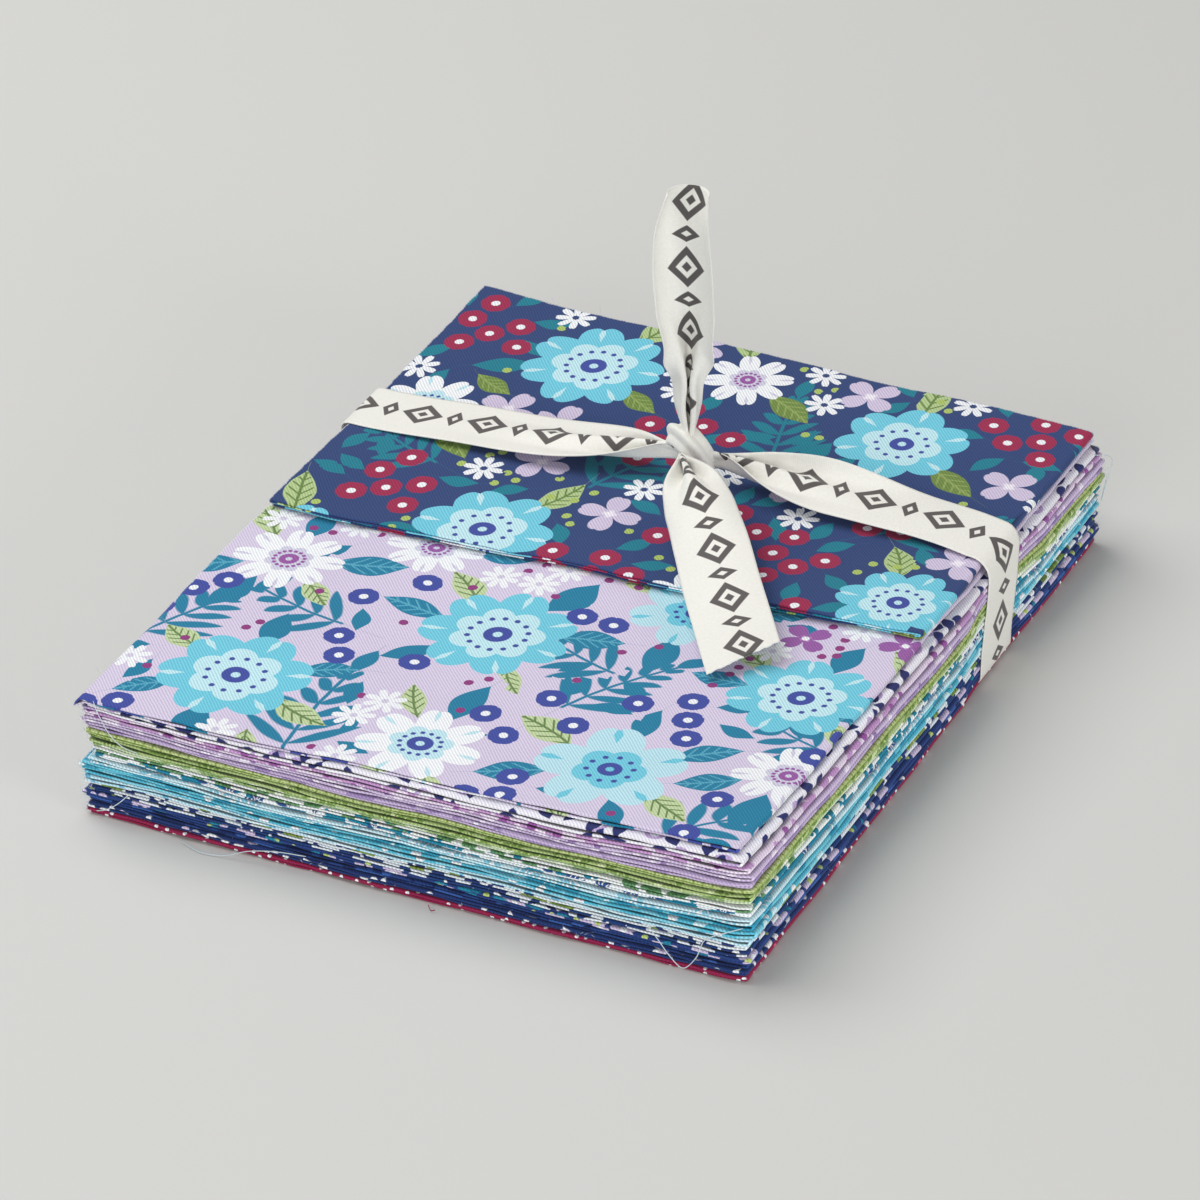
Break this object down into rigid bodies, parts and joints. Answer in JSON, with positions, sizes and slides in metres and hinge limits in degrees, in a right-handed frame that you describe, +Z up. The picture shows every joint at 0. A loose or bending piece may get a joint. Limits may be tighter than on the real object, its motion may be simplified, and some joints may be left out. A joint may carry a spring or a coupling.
{
  "type": "fat quarter bundle",
  "caption": "Pile of folded quarters of printed quilting cotton tied once round with a cream ribbon, knotted on top with two free ends.",
  "frame": {"origin": "middle of the base", "axes": "+X along the short side that shows the front folds, towards the side folds; +Y from the front folds to the raw edges at the back; +Z up"},
  "size_m": [0.2352, 0.2904, 0.1503],
  "materials": {
    "quarter_01_crimson_dots": "plain weave cotton, crimson with white dots",
    "quarter_02_navy_sprinkle": "plain weave cotton, navy with a white sprinkle",
    "quarter_03_navy_check": "plain weave cotton, navy tone on tone",
    "quarter_04_navy_lilac_flowers": "plain weave cotton, navy with lilac flowers and lime dots",
    "quarter_05_white_navy_motif": "plain weave cotton, white with navy motifs",
    "quarter_06_white_olive": "plain weave cotton, white with olive and navy",
    "quarter_07_light_blue": "plain weave cotton, light blue",
    "quarter_08_aqua_mottle": "plain weave cotton, mottled aqua",
    "quarter_09_aqua_deep": "plain weave cotton, deep aqua",
    "quarter_10_pale_aqua": "plain weave cotton, pale aqua",
    "quarter_11_white_teal_leaves": "plain weave cotton, white with teal leaves",
    "quarter_12_white_sprigs": "plain weave cotton, white with small sprigs",
    "quarter_13_green_pale": "plain weave cotton, pale green",
    "quarter_14_green_leaves": "plain weave cotton, green leaves",
    "quarter_15_lime_grid": "plain weave cotton, lime with a fine grid",
    "quarter_16_lilac_plain": "plain weave cotton, lilac",
    "quarter_17_lilac_dashes": "plain weave cotton, lilac with pale dashes",
    "quarter_18_pink_bloom": "plain weave cotton, soft pink and lilac blooms",
    "quarter_19_white_rings": "plain weave cotton, white with lilac rings and navy crescents",
    "quarter_20_lilac_floral": "plain weave cotton, lilac floral",
    "quarter_21_navy_floral": "plain weave cotton, navy floral",
    "ribbon": "cream woven ribbon"
  },
  "bodies": {
    "root": {"quarter_01_crimson_dots": "quarter_01_crimson_dots", "quarter_02_navy_sprinkle": "quarter_02_navy_sprinkle", "quarter_03_navy_check": "quarter_03_navy_check", "quarter_04_navy_lilac_flowers": "quarter_04_navy_lilac_flowers", "quarter_05_white_navy_motif": "quarter_05_white_navy_motif", "quarter_06_white_olive": "quarter_06_white_olive", "quarter_07_light_blue": "quarter_07_light_blue", "quarter_08_aqua_mottle": "quarter_08_aqua_mottle", "quarter_09_aqua_deep": "quarter_09_aqua_deep", "quarter_10_pale_aqua": "quarter_10_pale_aqua", "quarter_11_white_teal_leaves": "quarter_11_white_teal_leaves", "quarter_12_white_sprigs": "quarter_12_white_sprigs", "quarter_13_green_pale": "quarter_13_green_pale", "quarter_14_green_leaves": "quarter_14_green_leaves", "quarter_15_lime_grid": "quarter_15_lime_grid", "quarter_16_lilac_plain": "quarter_16_lilac_plain", "quarter_17_lilac_dashes": "quarter_17_lilac_dashes", "quarter_18_pink_bloom": "quarter_18_pink_bloom", "quarter_19_white_rings": "quarter_19_white_rings", "quarter_20_lilac_floral": "quarter_20_lilac_floral", "quarter_21_navy_floral": "quarter_21_navy_floral", "ribbon_band": "ribbon", "ribbon_knot": "ribbon", "ribbon_tail_up": "ribbon", "ribbon_tail_front": "ribbon"}
  },
  "joints": []
}
